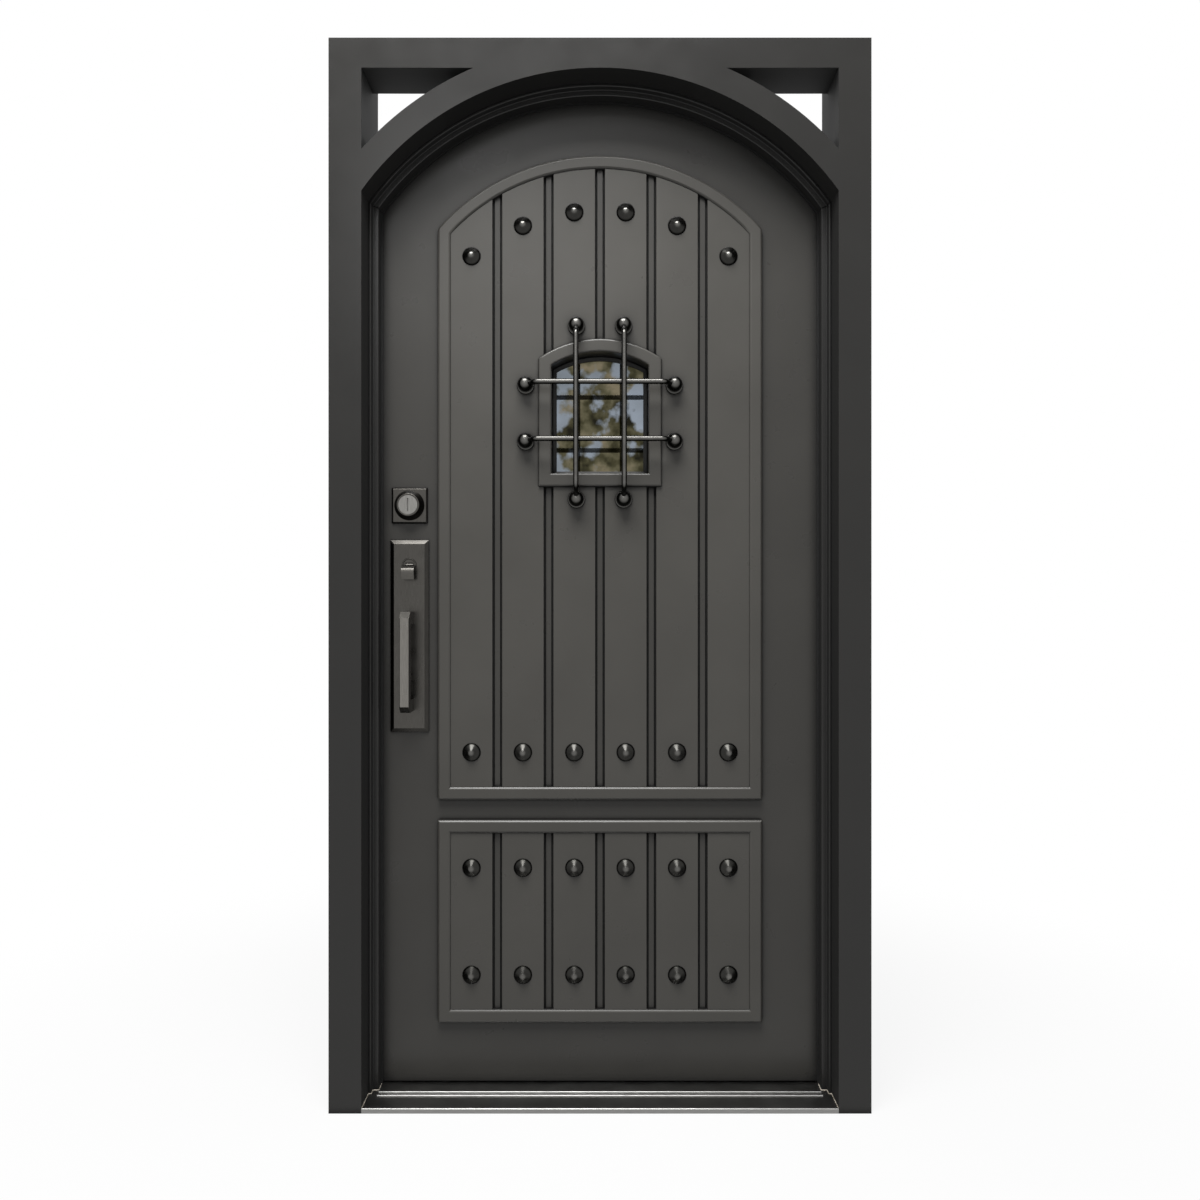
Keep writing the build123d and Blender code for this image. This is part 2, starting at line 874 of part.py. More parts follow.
with BuildPart() as sash_frame:
    add(
        ring(
            window_face(sash_inset), window_face(sash_opening_inset), sash_front, sash_back
        )
    )
    add(
        ring(
            window_face(sash_flange_inset), window_face(sash_opening_inset), sash_seat, sash_back
        )
    )
    splay = bevelled_block(
        window_face(sash_opening_inset),
        window_face(sash_opening_inset - sash_bevel),
        sash_front,
        sash_bevel_depth,
    )
    add(splay, mode=Mode.SUBTRACT)
    with BuildSketch(upright(sash_back)):
        add(window_face(sash_rabbet_inset))
    extrude(amount=sash_back - sash_front - sash_lip, mode=Mode.SUBTRACT)
    for height in sash_hinge_heights:
        with BuildSketch(level(height + face_clearance)):
            with Locations((sash_hinge_x, sash_hinge_depth)):
                Circle(sash_barrel_radius)
            with Locations((sash_hinge_x, sash_back - sash_hinge_tab_height / 2)):
                Rectangle(
                    sash_barrel_radius + sash_flange / 2,
                    sash_hinge_tab_height,
                    align=(Align.MAX, Align.CENTER),
                )
        extrude(amount=sash_barrel_length)
        with BuildSketch(level(height)):
            with Locations((sash_hinge_x, sash_hinge_depth)):
                Circle(sash_pin_radius + pin_clearance)
        extrude(amount=sash_barrel_length + cut_overrun, mode=Mode.SUBTRACT)
    with BuildSketch(upright(sash_back + sash_pull_height)):
        with Locations((sash_pull_x, window_middle)):
            Circle(sash_pull_radius)
    extrude(amount=sash_pull_height / 2)
    with BuildSketch(upright(sash_back + sash_pull_height / 2)):
        with Locations((sash_pull_x, window_middle)):
            Circle(sash_pull_neck_radius)
    extrude(amount=sash_pull_height / 2)
sash_frame.part.label = "sash_frame"

with BuildPart() as sash_glass:
    with BuildSketch(upright(sash_front + sash_lip + glass_thickness)):
        add(window_face(sash_rabbet_inset + glass_clearance))
    extrude(amount=glass_thickness)
sash_glass.part.label = "sash_glass"

with BuildPart() as sash_bead:
    add(
        ring(
            window_face(sash_rabbet_inset + glass_clearance),
            window_face(sash_opening_inset),
            sash_front + sash_lip + glass_thickness,
            sash_back,
        )
    )
sash_bead.part.label = "sash_bead"

with BuildPart() as sash_knuckles:
    for height in sash_hinge_heights:
        with BuildSketch(level(height - sash_barrel_length)):
            with Locations((sash_hinge_x, sash_hinge_depth)):
                Circle(sash_barrel_radius)
            with Locations((sash_hinge_x, leaf_back + sash_hinge_tab_height / 2)):
                Rectangle(
                    sash_hinge_tab, sash_hinge_tab_height, align=(Align.MIN, Align.CENTER)
                )
        extrude(amount=sash_barrel_length)
        with BuildSketch(level(height)):
            with Locations((sash_hinge_x, sash_hinge_depth)):
                Circle(sash_pin_radius)
        extrude(amount=sash_barrel_length)
sash_knuckles.part.label = "sash_knuckles"


# Locks
def lock_case(height, bolt_height):
    """Return a bolt case with its faceplate in the leaf's edge, open for the bolt."""
    with BuildPart() as case:
        with BuildSketch(across(-leaf_half)):
            with Locations((leaf_middle, height)):
                Rectangle(faceplate_width, faceplate_height)
        extrude(amount=faceplate_thickness)
        with BuildSketch(across(-leaf_half)):
            with Locations((leaf_middle, height)):
                Circle(case_radius)
        extrude(amount=backset - case_end_gap)
        with BuildSketch(across(-leaf_half)):
            with Locations((leaf_middle, height)):
                Rectangle(bolt_width + bolt_clearance * 2, bolt_height + bolt_clearance * 2)
        extrude(amount=backset - case_end_gap - tube_wall, mode=Mode.SUBTRACT)
    return case.part


bolt_length = backset - case_end_gap - tube_wall - bolt_back_gap

with BuildPart() as latch_case:
    add(lock_case(latch_height, latch_bolt_height))
latch_case.part.label = "latch_case"

with BuildPart() as deadbolt_case:
    add(lock_case(deadbolt_height, deadbolt_bolt_height))
deadbolt_case.part.label = "deadbolt_case"

with BuildPart() as latch_bolt:
    with BuildSketch(Plane(origin=(-leaf_half, -frame_depth / 2, latch_height))):
        with BuildLine():
            Polyline(
                (0, leaf_middle + bolt_width / 2),
                (latch_throw, leaf_middle - bolt_width / 2),
                (bolt_length, leaf_middle - bolt_width / 2),
                (bolt_length, leaf_middle + bolt_width / 2),
                close=True,
            )
        make_face()
    extrude(amount=latch_bolt_height / 2, both=True)
latch_bolt.part.label = "latch_bolt"

with BuildPart() as deadbolt_bolt:
    with BuildSketch(across(-leaf_half)):
        with Locations((leaf_middle, deadbolt_height)):
            Rectangle(bolt_width, deadbolt_bolt_height)
    extrude(amount=bolt_length)
    chamfer(deadbolt_bolt.faces().sort_by(Axis.X)[0].edges(), deadbolt_chamfer)
deadbolt_bolt.part.label = "deadbolt_bolt"


# Deadbolt trim
def square_plate(height, size, front, back, bevel, outside):
    """Return a square plate with a bevelled show face, pierced for a shaft."""
    with BuildPart() as plate:
        with BuildSketch(upright(back)):
            with Locations((lock_x, height)):
                Rectangle(size, size)
        extrude(amount=back - front)
        show_face = plate.faces().sort_by(Axis.Y)[0 if outside else -1]
        chamfer(show_face.edges(), bevel)
    return plate.part


def pierce(radius, height, front, back):
    """Return a round cutter square to the leaf, longer than the plate that it pierces."""
    with BuildPart() as cutter:
        with BuildSketch(upright(back + cut_overrun)):
            with Locations((lock_x, height)):
                Circle(radius)
        extrude(amount=back - front + cut_overrun * 2)
    return cutter.part


deadbolt_front = leaf_front - deadbolt_plate_height
collar_front = deadbolt_front - collar_height
with BuildPart() as deadbolt_plate:
    add(
        square_plate(
            deadbolt_height,
            deadbolt_plate_size,
            deadbolt_front,
            leaf_front,
            deadbolt_plate_bevel,
            True,
        )
    )
    add(
        pierce(plug_shank_radius + plug_clearance, deadbolt_height, deadbolt_front, leaf_front),
        mode=Mode.SUBTRACT,
    )
deadbolt_plate.part.label = "deadbolt_plate"

# The collar tapers towards the front and holds the key plug in a socket
with BuildPart() as deadbolt_collar:
    with BuildSketch(across(lock_x)):
        with BuildLine():
            Polyline(
                (deadbolt_front, deadbolt_height + plug_shank_radius + plug_clearance),
                (deadbolt_front, deadbolt_height + collar_radius),
                (collar_front, deadbolt_height + collar_front_radius),
                (collar_front, deadbolt_height + plug_radius + plug_clearance),
                (collar_front + collar_socket, deadbolt_height + plug_radius + plug_clearance),
                (collar_front + collar_socket, deadbolt_height + plug_shank_radius + plug_clearance),
                close=True,
            )
        make_face()
    revolve(axis=Axis((lock_x, 0, deadbolt_height), (0, 1, 0)))
deadbolt_collar.part.label = "deadbolt_collar"

with BuildPart() as key_plug:
    with BuildSketch(upright(collar_front + collar_socket - plug_clearance)):
        with Locations((lock_x, deadbolt_height)):
            Circle(plug_radius)
    extrude(amount=collar_socket - plug_clearance)
    with BuildSketch(upright(leaf_middle - shaft_gap)):
        with Locations((lock_x, deadbolt_height)):
            Circle(plug_shank_radius)
    extrude(amount=leaf_middle - shaft_gap - collar_front - collar_socket + plug_clearance)
    with BuildSketch(upright(collar_front + keyway_depth)):
        with Locations((lock_x, deadbolt_height)):
            Rectangle(keyway_width, keyway_height)
    extrude(amount=keyway_depth, mode=Mode.SUBTRACT)
key_plug.part.label = "key_plug"

rose_back = leaf_back + rose_height
with BuildPart() as turn_rose:
    add(square_plate(deadbolt_height, rose_size, leaf_back, rose_back, rose_bevel, False))
    add(
        pierce(turn_shank_radius + plug_clearance, deadbolt_height, leaf_back, rose_back),
        mode=Mode.SUBTRACT,
    )
turn_rose.part.label = "turn_rose"

turn_front = rose_back + turn_stand_off
with BuildPart() as thumbturn:
    with BuildSketch(upright(turn_front)):
        with Locations((lock_x, deadbolt_height)):
            Circle(turn_shank_radius)
    extrude(amount=turn_front - leaf_middle - shaft_gap)
    with BuildSketch(upright(turn_front + turn_height)):
        with Locations((lock_x, deadbolt_height)):
            SlotOverall(turn_length, turn_width, rotation=90)
    extrude(amount=turn_height)
thumbturn.part.label = "thumbturn"

# Handle set
handle_front = leaf_front - handle_height
thumb_depth = (handle_front + leaf_front) / 2
with BuildPart() as handle_plate:
    with BuildSketch(upright(leaf_front)):
        with Locations((lock_x, (handle_bottom + handle_top) / 2)):
            Rectangle(handle_width, handle_top - handle_bottom)
    extrude(amount=handle_height)
    show_face = handle_plate.faces().sort_by(Axis.Y)[0]
    chamfer(show_face.edges(), handle_bevel, handle_bevel_depth, reference=show_face)
    with BuildSketch(upright(handle_front)):
        with Locations((lock_x, thumb_height)):
            Circle(thumb_ring_radius)
            Circle(thumb_ring_radius - thumb_ring_width, mode=Mode.SUBTRACT)
    extrude(amount=thumb_ring_height)
    chamfer(handle_plate.faces().sort_by(Axis.Y)[0].edges(), thumb_ring_bevel)
    with BuildSketch(upright(leaf_front)):
        with Locations((lock_x, thumb_height)):
            Rectangle(
                thumb_neck_width + thumb_slot_clearance * 2,
                (thumb_hub_radius + thumb_slot_clearance) * 2,
            )
    extrude(amount=handle_height, mode=Mode.SUBTRACT)
    with BuildSketch(across(lock_x)):
        with Locations((thumb_depth, thumb_height)):
            Circle(thumb_pin_radius + weld_gap)
    extrude(amount=thumb_neck_width / 2 + thumb_pin_seat, both=True, mode=Mode.SUBTRACT)
handle_plate.part.label = "handle_plate"

with BuildPart() as thumb_pin:
    with BuildSketch(across(lock_x)):
        with Locations((thumb_depth, thumb_height)):
            Circle(thumb_pin_radius)
    extrude(amount=thumb_neck_width / 2 + thumb_pin_seat, both=True)
thumb_pin.part.label = "thumb_pin"

# The thumb piece is a strip that turns on its pin: a narrow neck and tail, and a wide bent pad.
# It is drawn pressed, on a plane through the pin that tilts with it.
press_plane = Plane(
    origin=(lock_x, thumb_depth - frame_depth / 2, thumb_height),
    x_dir=Vector(0, 1, 0).rotate(Axis.X, thumb_press_angle),
    z_dir=(1, 0, 0),
)
thumb_pad_start = handle_front - thumb_depth - thumb_ring_height * 2
thumb_corner = handle_front - thumb_depth - thumb_reach
with BuildPart() as thumb_piece:
    with BuildSketch(press_plane):
        Circle(thumb_hub_radius)
        with BuildLine():
            Polyline((thumb_tail, 0), (thumb_pad_start, 0))
        trace(line_width=thumb_strip)
    extrude(amount=thumb_neck_width / 2, both=True)
    with BuildSketch(press_plane):
        with BuildLine():
            FilletPolyline(
                (thumb_pad_start, 0), (thumb_corner, 0), (thumb_corner, -thumb_drop), radius=thumb_bend
            )
        trace(line_width=thumb_strip)
    extrude(amount=thumb_pad_width / 2, both=True)
    with BuildSketch(press_plane):
        Circle(thumb_pin_radius + pin_clearance)
    extrude(amount=thumb_neck_width, both=True, mode=Mode.SUBTRACT)
thumb_piece.part.label = "thumb_piece"

# The grip is one square bar, with its outer corners cut off
grip_front = handle_front - grip_stand_off
with BuildPart() as grip:
    with BuildSketch(across(lock_x)):
        with BuildLine():
            Polyline(
                (handle_front, grip_top),
                (grip_front + grip_corner, grip_top),
                (grip_front, grip_top - grip_corner),
                (grip_front, grip_bottom + grip_corner),
                (grip_front + grip_corner, grip_bottom),
                (handle_front, grip_bottom),
                (handle_front, grip_bottom + grip_foot_height),
                (grip_front + grip_bar, grip_bottom + grip_foot_height),
                (grip_front + grip_bar, grip_top - grip_foot_height),
                (handle_front, grip_top - grip_foot_height),
                close=True,
            )
        make_face()
    extrude(amount=grip_width / 2, both=True)
    front_edges = grip.faces().sort_by(Axis.Y)[0].edges().filter_by(Axis.Z)
    fillet(front_edges, grip_edge)
grip.part.label = "grip"

with BuildPart() as lever_rose:
    add(square_plate(latch_height, rose_size, leaf_back, rose_back, rose_bevel, False))
    add(
        pierce(lever_shank_radius + plug_clearance, latch_height, leaf_back, rose_back),
        mode=Mode.SUBTRACT,
    )
lever_rose.part.label = "lever_rose"

# The lever's arm points away from the leaf's edge
lever_back = rose_back + lever_neck
with BuildPart() as inside_lever:
    with BuildSketch(upright(lever_back)):
        with Locations((lock_x, latch_height)):
            Circle(lever_shank_radius)
    extrude(amount=lever_back - leaf_middle - shaft_gap)
    with BuildSketch(upright(lever_back)):
        with Locations((lock_x - lever_width / 2, latch_height)):
            SlotOverall(
                lever_length + lever_width / 2, lever_width, align=(Align.MIN, Align.CENTER)
            )
    extrude(amount=lever_bar)
    fillet(inside_lever.faces().sort_by(Axis.Y)[-1].edges(), lever_edge)
inside_lever.part.label = "inside_lever"

# Each finished piece is written to a file of its own
pieces = [
    left_jamb.part,
    right_jamb.part,
    head.part,
    arch.part,
    left_stop.part,
    right_stop.part,
    arch_stop.part,
    left_gasket.part,
    right_gasket.part,
    arch_gasket.part,
    sill.part,
    latch_strike.part,
    deadbolt_strike.part,
    hinge_frame_barrels.part,
    hinge_leaf_barrels.part,
    hinge_washers.part,
    leaf_frame.part,
    outer_skin.part,
    inner_skin.part,
    foam_core.part,
    bottom_sweep.part,
    upper_moulding.part,
    lower_moulding.part,
    *planks,
    clavos.part,
    window_trim.part,
    window_lining.part,
    grille_balls.part,
    grille_rails.part,
    grille_uprights.part,
    sash_frame.part,
    sash_glass.part,
    sash_bead.part,
    sash_knuckles.part,
    latch_case.part,
    deadbolt_case.part,
    latch_bolt.part,
    deadbolt_bolt.part,
    deadbolt_plate.part,
    deadbolt_collar.part,
    key_plug.part,
    turn_rose.part,
    thumbturn.part,
    handle_plate.part,
    thumb_pin.part,
    thumb_piece.part,
    grip.part,
    lever_rose.part,
    inside_lever.part,
]
os.makedirs("parts", exist_ok=True)
for piece in pieces:
    export_step(piece, f"parts/{piece.label}.step")
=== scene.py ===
import math

import bmesh
import bpy
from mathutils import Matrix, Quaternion, Vector


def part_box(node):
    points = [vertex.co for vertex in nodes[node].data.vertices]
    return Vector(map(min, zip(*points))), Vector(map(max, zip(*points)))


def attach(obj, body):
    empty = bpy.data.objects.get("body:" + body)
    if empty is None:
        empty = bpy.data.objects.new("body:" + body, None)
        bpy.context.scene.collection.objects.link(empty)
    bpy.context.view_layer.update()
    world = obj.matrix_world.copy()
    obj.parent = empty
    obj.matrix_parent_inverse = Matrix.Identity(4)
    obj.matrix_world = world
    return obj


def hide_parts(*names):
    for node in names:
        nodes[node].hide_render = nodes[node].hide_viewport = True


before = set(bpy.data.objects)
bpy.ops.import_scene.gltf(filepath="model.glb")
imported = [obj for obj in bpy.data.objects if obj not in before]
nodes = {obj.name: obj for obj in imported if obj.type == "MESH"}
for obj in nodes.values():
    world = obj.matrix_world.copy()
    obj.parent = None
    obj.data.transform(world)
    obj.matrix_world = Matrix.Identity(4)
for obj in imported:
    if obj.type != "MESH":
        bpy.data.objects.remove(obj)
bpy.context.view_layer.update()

# The arched iron entry door, dressed: X to the right seen from outside, Y inwards, Z up, metres
MM = 0.001

# Camera
eye_distance = 2.086
eye_height = 1.0272
lens = 30.15
sensor_width = 36

# Lamps, with powers in watts
top_place = (-0.4, -1.6, 4.2)
top_aim = (-0.4, -1.6, 0)
top_size = (2.2, 1.8)
top_power = 225
key_place = (-0.6, -4.0, 3.2)
key_aim = (0, 0, 1.5)
key_size = (1.4, 1.2)
key_power = 11.5
world_light = 0.065

# Floor, whose shadow fades out between two distances from the door
floor_radius = 12
floor_steps = 96
floor_tone = 0.8
floor_bounce = 0.2
shadow_share = 0.12
shadow_start = 0.5
shadow_end = 2.0

# Edges and facets
weld_distance = 0.01 * MM
edge_angle = math.radians(30)
edge_segments = 2
flat_angle = math.radians(0.5)
normal_weight = 100
turn_steps = 48
soft_edges = {
    "frame_paint": 1.6 * MM,
    "leaf_paint": 1.0 * MM,
    "hardware": 0.8 * MM,
    "sill_metal": 0.8 * MM,
    "sash_paint": 0.8 * MM,
}

# Crevices, which take painted shade, and faces turned from the front, by how squarely they face
# outwards: painted shade on turned faces and flanks, and a painted highlight on crowns
crevice_samples = 8
crevice_reach = 30 * MM
crevice_range = (0.5, 0.92)
# Painted shade: the share of the colour left in the deepest crevices
crevice_painted_shade = 0.06
crevice_roughness = 0.95
turned_range = (0.3, 0.7)
flank_range = (0.8, 0.98)
# Painted highlight and shade: the squareness over which the iron turns from dark flank to bright
# crown
crown_highlight_range = (0.76, 0.995)
front_lightening_depths = (-25 * MM, 10 * MM)
brush_stretch = 40

# Frame
arch_face = 52 * MM
weld_reach = 0.5 * MM

# Clavos, the round nail heads: the rim's points are shares of the radius and of the rim's height
clavo_slope = math.radians(36)
clavo_crown_share = 0.36
clavo_steps = 6
clavo_rim = ((0.98, 0), (1, 0.2), (1, 0.7))

# Caulk in the corners of the sill
caulk_radius = 1.1 * MM
caulk_steps = 10
caulk_start = 3.25 * MM
caulk_pitch = 3 * MM
caulk_waver = 0.7 * MM
caulk_beats = (2.3, 3.1)
foot_reach = 0.5 * MM

# Grille: the foot's points are shares of the foot's radius and of the ball's radius
bar_steps = 24
knee_run = 24 * MM
knee_radius = 13 * MM
knee_steps = 8
ball_foot = ((0.96, 1), (1, 0.95), (1, 0.84), (0.95, 0.78))
ball_neck_radius = 0.72
ball_neck_depth = 0.76
ball_wrap = math.radians(134)
ball_steps = 25


def corners(name):
    """Return a node's lowest and highest corner."""
    low, high = (Vector(corner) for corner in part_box(name))
    return low, high


def node_copy(name):
    """Return a loose copy of a node with its seams welded."""
    mesh = bmesh.new()
    mesh.from_mesh(nodes[name].data)
    bmesh.ops.remove_doubles(mesh, verts=mesh.verts, dist=weld_distance)
    return mesh


def loose_pieces(name):
    """Return the lowest and highest corner of each loose piece of a node."""
    mesh = node_copy(name)
    left = set(mesh.verts)
    found = []
    while left:
        reach = [left.pop()]
        piece = []
        while reach:
            vert = reach.pop()
            piece.append(vert.co.copy())
            for edge in vert.link_edges:
                other = edge.other_vert(vert)
                if other in left:
                    left.remove(other)
                    reach.append(other)
        low = Vector([min(place[axis] for place in piece) for axis in range(3)])
        high = Vector([max(place[axis] for place in piece) for axis in range(3)])
        found.append((low, high))
    mesh.free()
    return sorted(found, key=lambda piece: (round(piece[0].z, 3), round(piece[0].x, 3)))


# Materials
class Shader:
    """A material with its node tree, a principled shader and short ways to add nodes."""

    def __init__(self, name):
        self.material = bpy.data.materials.new(name)
        self.material.use_nodes = True
        self.tree = self.material.node_tree
        self.tree.nodes.clear()
        self.output = self.tree.nodes.new("ShaderNodeOutputMaterial")
        self.surface = self.tree.nodes.new("ShaderNodeBsdfPrincipled")
        self.link(self.surface.outputs[0], self.output.inputs["Surface"])
        coordinates = self.tree.nodes.new("ShaderNodeTexCoord")
        self.place = coordinates.outputs["Object"]
        self.normal = coordinates.outputs["Normal"]

    def link(self, source, target):
        self.tree.links.new(source, target)

    def set(self, **values):
        """Set sockets of the principled shader by name, with underscores for spaces."""
        for name, value in values.items():
            self.surface.inputs[name.replace("_", " ")].default_value = value

    def stretched(self, scale):
        """Return the object's coordinates, stretched by a scale along each axis."""
        mapping = self.tree.nodes.new("ShaderNodeMapping")
        mapping.inputs["Scale"].default_value = scale
        self.link(self.place, mapping.inputs["Vector"])
        return mapping.outputs[0]

    def noise(self, scale, detail, place=None):
        """Return a noise at a scale in cells per metre."""
        texture = self.tree.nodes.new("ShaderNodeTexNoise")
        texture.inputs["Scale"].default_value = scale
        texture.inputs["Detail"].default_value = detail
        self.link(place or self.place, texture.inputs["Vector"])
        return texture.outputs[0]

    def inwards(self):
        """Return the object's coordinate from the outside inwards."""
        split = self.tree.nodes.new("ShaderNodeSeparateXYZ")
        self.link(self.place, split.inputs[0])
        return split.outputs["Y"]

    def squareness(self):
        """Return how squarely the surface faces outwards or inwards, from 0 to 1."""
        split = self.tree.nodes.new("ShaderNodeSeparateXYZ")
        self.link(self.normal, split.inputs[0])
        size = self.tree.nodes.new("ShaderNodeMath")
        size.operation = "ABSOLUTE"
        self.link(split.outputs["Y"], size.inputs[0])
        return size.outputs[0]

    def cells(self, scale):
        """Return the distance to the nearest of scattered points, at a scale in cells per metre."""
        texture = self.tree.nodes.new("ShaderNodeTexVoronoi")
        texture.inputs["Scale"].default_value = scale
        self.link(self.place, texture.inputs["Vector"])
        return texture.outputs["Distance"]

    def spread(self, source, low, high, start=0.3, end=0.7):
        """Return a number spread to a range, by default from the middle of a noise."""
        spread = self.tree.nodes.new("ShaderNodeMapRange")
        spread.inputs["From Min"].default_value = start
        spread.inputs["From Max"].default_value = end
        spread.inputs["To Min"].default_value = low
        spread.inputs["To Max"].default_value = high
        self.link(source, spread.inputs["Value"])
        return spread.outputs[0]

    def ramp(self, source, *stops):
        """Return a colour from stops of place and colour."""
        ramp = self.tree.nodes.new("ShaderNodeValToRGB")
        elements = ramp.color_ramp.elements
        while len(elements) < len(stops):
            elements.new(1.0)
        for element, (place, colour) in zip(elements, stops):
            element.position = place
            element.color = (*colour, 1.0)
        self.link(source, ramp.inputs[0])
        return ramp.outputs[0]

    def openness(self, reach):
        """Return how open the surface lies within a reach, from 0 in a deep crevice to 1."""
        hemmed = self.tree.nodes.new("ShaderNodeAmbientOcclusion")
        hemmed.samples = crevice_samples
        hemmed.inputs["Distance"].default_value = reach
        return self.spread(hemmed.outputs["AO"], 0.0, 1.0, *crevice_range)

    def shaded(self, source, share):
        """Return a colour multiplied by a share."""
        blend = self.tree.nodes.new("ShaderNodeMix")
        blend.data_type = "RGBA"
        blend.blend_type = "MULTIPLY"
        blend.inputs[0].default_value = 1.0
        self.link(source, blend.inputs[6])
        self.link(share, blend.inputs[7])
        return blend.outputs[2]

    def blended(self, one, two, share):
        """Return a blend from one colour to another by a share."""
        blend = self.tree.nodes.new("ShaderNodeMix")
        blend.data_type = "RGBA"
        self.link(share, blend.inputs[0])
        self.link(one, blend.inputs[6])
        self.link(two, blend.inputs[7])
        return blend.outputs[2]

    def greater(self, one, two):
        """Return the greater of two numbers."""
        pick = self.tree.nodes.new("ShaderNodeMath")
        pick.operation = "MAXIMUM"
        self.link(one, pick.inputs[0])
        self.link(two, pick.inputs[1])
        return pick.outputs[0]

    def colour(self, source):
        self.link(source, self.surface.inputs["Base Color"])

    def roughness(self, source):
        self.link(source, self.surface.inputs["Roughness"])

    def bump(self, source, height, strength):
        """Add a bump of a height in metres over the bumps so far."""
        bump = self.tree.nodes.new("ShaderNodeBump")
        bump.inputs["Strength"].default_value = strength
        bump.inputs["Distance"].default_value = height
        self.link(source, bump.inputs["Height"])
        earlier = self.surface.inputs["Normal"].links
        if earlier:
            self.link(earlier[0].from_socket, bump.inputs["Normal"])
        self.link(bump.outputs[0], self.surface.inputs["Normal"])


def powder_coat(name, dark, light, gloss, specular=0.35, depths=None, recess_painted_shade=1.0, matt=0.0):
    """Return a satin powder coat with painted shade in crevices, painted shade on faces set in
    between two depths, and matt with painted shade on turned faces.
    """
    shader = Shader(name)
    shader.set(Specular_IOR_Level=specular)
    open_air = shader.openness(crevice_reach)
    mottle = shader.ramp(shader.noise(5, 5), (0.3, dark), (0.7, light))
    # Painted shade: the colour darkens in crevices, as far as the occlusion finds them hemmed in
    tone = shader.shaded(mottle, shader.spread(open_air, crevice_painted_shade, 1.0, 0.0, 1.0))
    satin = shader.spread(shader.noise(14, 4), *gloss)
    rough = shader.greater(satin, shader.spread(open_air, crevice_roughness, 0.0, 0.0, 1.0))
    # Painted shade: faces set in from the first depth to the second grow darker
    if depths:
        tone = shader.shaded(tone, shader.spread(shader.inwards(), 1.0, recess_painted_shade, *depths))
    # Painted shade: faces turned from the front are darker, as well as matt
    if matt:
        square = shader.squareness()
        tone = shader.shaded(tone, shader.spread(square, 1.0 - matt, 1.0, *turned_range))
        rough = shader.greater(rough, shader.spread(square, matt, 0.0, *turned_range))
    shader.colour(tone)
    shader.roughness(rough)
    shader.bump(shader.noise(420, 2), 0.05 * MM, 0.5)
    shader.bump(shader.noise(1500, 1), 0.02 * MM, 0.5)
    return shader.material


def blackened_iron(name):
    """Return blackened iron with painted shade on its flanks and a painted highlight on its crowns.
    """
    shader = Shader(name)
    shader.set(Metallic=1.0)
    # Painted highlight and shade: bright where the surface faces squarely outwards, near black where
    # it turns away
    crown_highlight_flank_shade = shader.ramp(
        shader.spread(shader.squareness(), 0.0, 1.0, *crown_highlight_range),
        (0.0, (0.008, 0.008, 0.007)),
        (1.0, (0.140, 0.137, 0.129)),
    )
    mottle = shader.ramp(shader.noise(60, 4), (0.3, (0.75, 0.75, 0.75)), (0.7, (1.0, 1.0, 1.0)))
    shader.colour(shader.shaded(crown_highlight_flank_shade, mottle))
    shader.roughness(shader.spread(shader.noise(70, 3), 0.22, 0.30))
    shader.bump(shader.noise(110, 2), 0.03 * MM, 0.25)
    return shader.material


def brushed_metal(name, dark, light, gloss, along, front_lightening=None, flank=None):
    """Return a metal brushed along one axis, lighter where it stands out, with painted shade on its
    flanks.
    """
    shader = Shader(name)
    shader.set(Metallic=1.0)
    streaks = shader.stretched([1 if axis == along else brush_stretch for axis in "xyz"])
    lines = shader.noise(60, 4, streaks)
    tone = shader.ramp(lines, (0.3, dark), (0.7, light))
    # Lighter the further the surface stands out towards the front
    if front_lightening:
        tone = shader.shaded(tone, shader.spread(shader.inwards(), front_lightening, 1.0, *front_lightening_depths))
    # Painted shade: faces turned from the front are darker
    if flank:
        tone = shader.shaded(tone, shader.spread(shader.squareness(), flank, 1.0, *flank_range))
    shader.colour(tone)
    shader.roughness(shader.spread(shader.noise(25, 3), *gloss))
    shader.bump(lines, 0.008 * MM, 0.4)
    return shader.material


def rubber(name):
    """Return matt black rubber with a fine grain."""
    shader = Shader(name)
    shader.set(Specular_IOR_Level=0.3)
    shader.colour(
        shader.ramp(shader.noise(80, 3), (0.3, (0.008, 0.008, 0.008)), (0.7, (0.014, 0.014, 0.014)))
    )
    shader.roughness(shader.spread(shader.noise(300, 2), 0.6, 0.75))
    shader.bump(shader.noise(1600, 2), 0.05 * MM, 0.5)
    return shader.material


def sealant(name):
    """Return pale, uneven caulk."""
    shader = Shader(name)
    shader.colour(
        shader.ramp(shader.noise(160, 4), (0.35, (0.25, 0.22, 0.17)), (0.65, (0.70, 0.64, 0.55)))
    )
    shader.roughness(shader.spread(shader.noise(220, 2), 0.45, 0.65))
    shader.bump(shader.noise(500, 2), 0.3 * MM, 0.6)
    return shader.material


def insulation(name):
    """Return pale rigid foam with its cells."""
    shader = Shader(name)
    shader.colour(
        shader.ramp(shader.cells(500), (0.1, (0.42, 0.36, 0.20)), (0.6, (0.62, 0.55, 0.36)))
    )
    shader.roughness(shader.spread(shader.noise(200, 2), 0.8, 0.95))
    shader.bump(shader.cells(500), 0.4 * MM, 0.6)
    return shader.material


